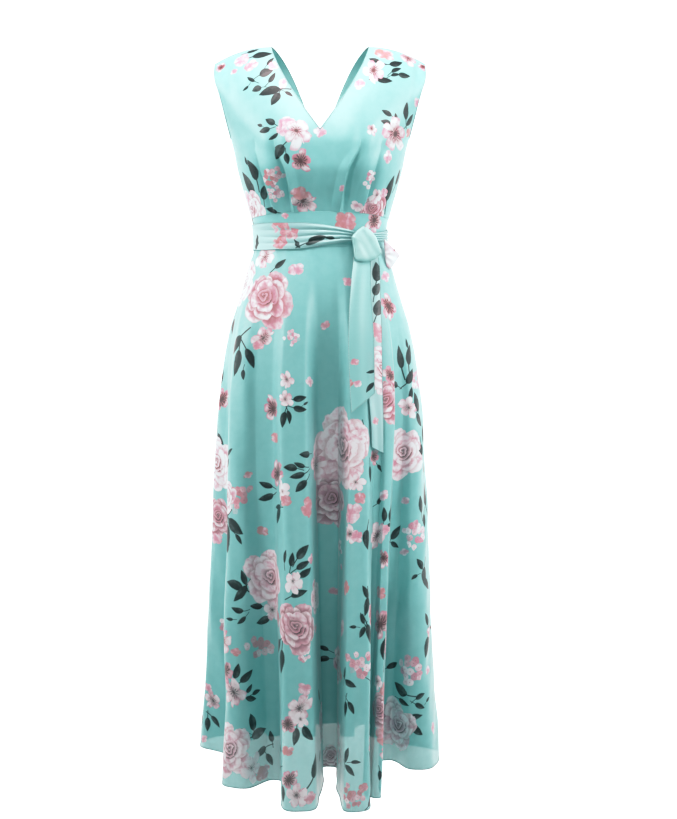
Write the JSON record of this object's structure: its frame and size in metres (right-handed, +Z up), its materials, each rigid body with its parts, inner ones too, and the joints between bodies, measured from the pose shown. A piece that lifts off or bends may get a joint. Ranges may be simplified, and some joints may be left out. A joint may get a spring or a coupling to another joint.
{
  "type": "sleeveless chiffon maxi dress",
  "caption": "Sleeveless V-neck maxi dress in printed chiffon with a tucked bust, a waistband, a tied sash and a long flared skirt over a lining.",
  "frame": {"origin": "at the height of the shoulder tops, midway between the two shoulders, where the wearer carries the dress", "axes": "+Z up, the front of the dress faces -Y and the wearer's left is at +X"},
  "size_m": [0.4639, 0.4611, 1.3756],
  "materials": {
    "printed_chiffon": "soft sheen",
    "plain_lining": "soft sheen",
    "deep_lining": "soft sheen"
  },
  "bodies": {
    "root": {"bodice_front": "printed_chiffon", "bodice_back": "printed_chiffon", "bodice_lining_front": "plain_lining", "bodice_lining_back": "plain_lining", "waistband_front": "printed_chiffon", "waistband_back": "printed_chiffon", "skirt_front": "printed_chiffon", "skirt_back": "printed_chiffon", "skirt_lining": "deep_lining", "sash_band": "printed_chiffon", "sash_knot": "plain_lining", "sash_loop": "printed_chiffon", "sash_tail_front": "plain_lining", "sash_tail_back": "printed_chiffon"}
  },
  "joints": []
}
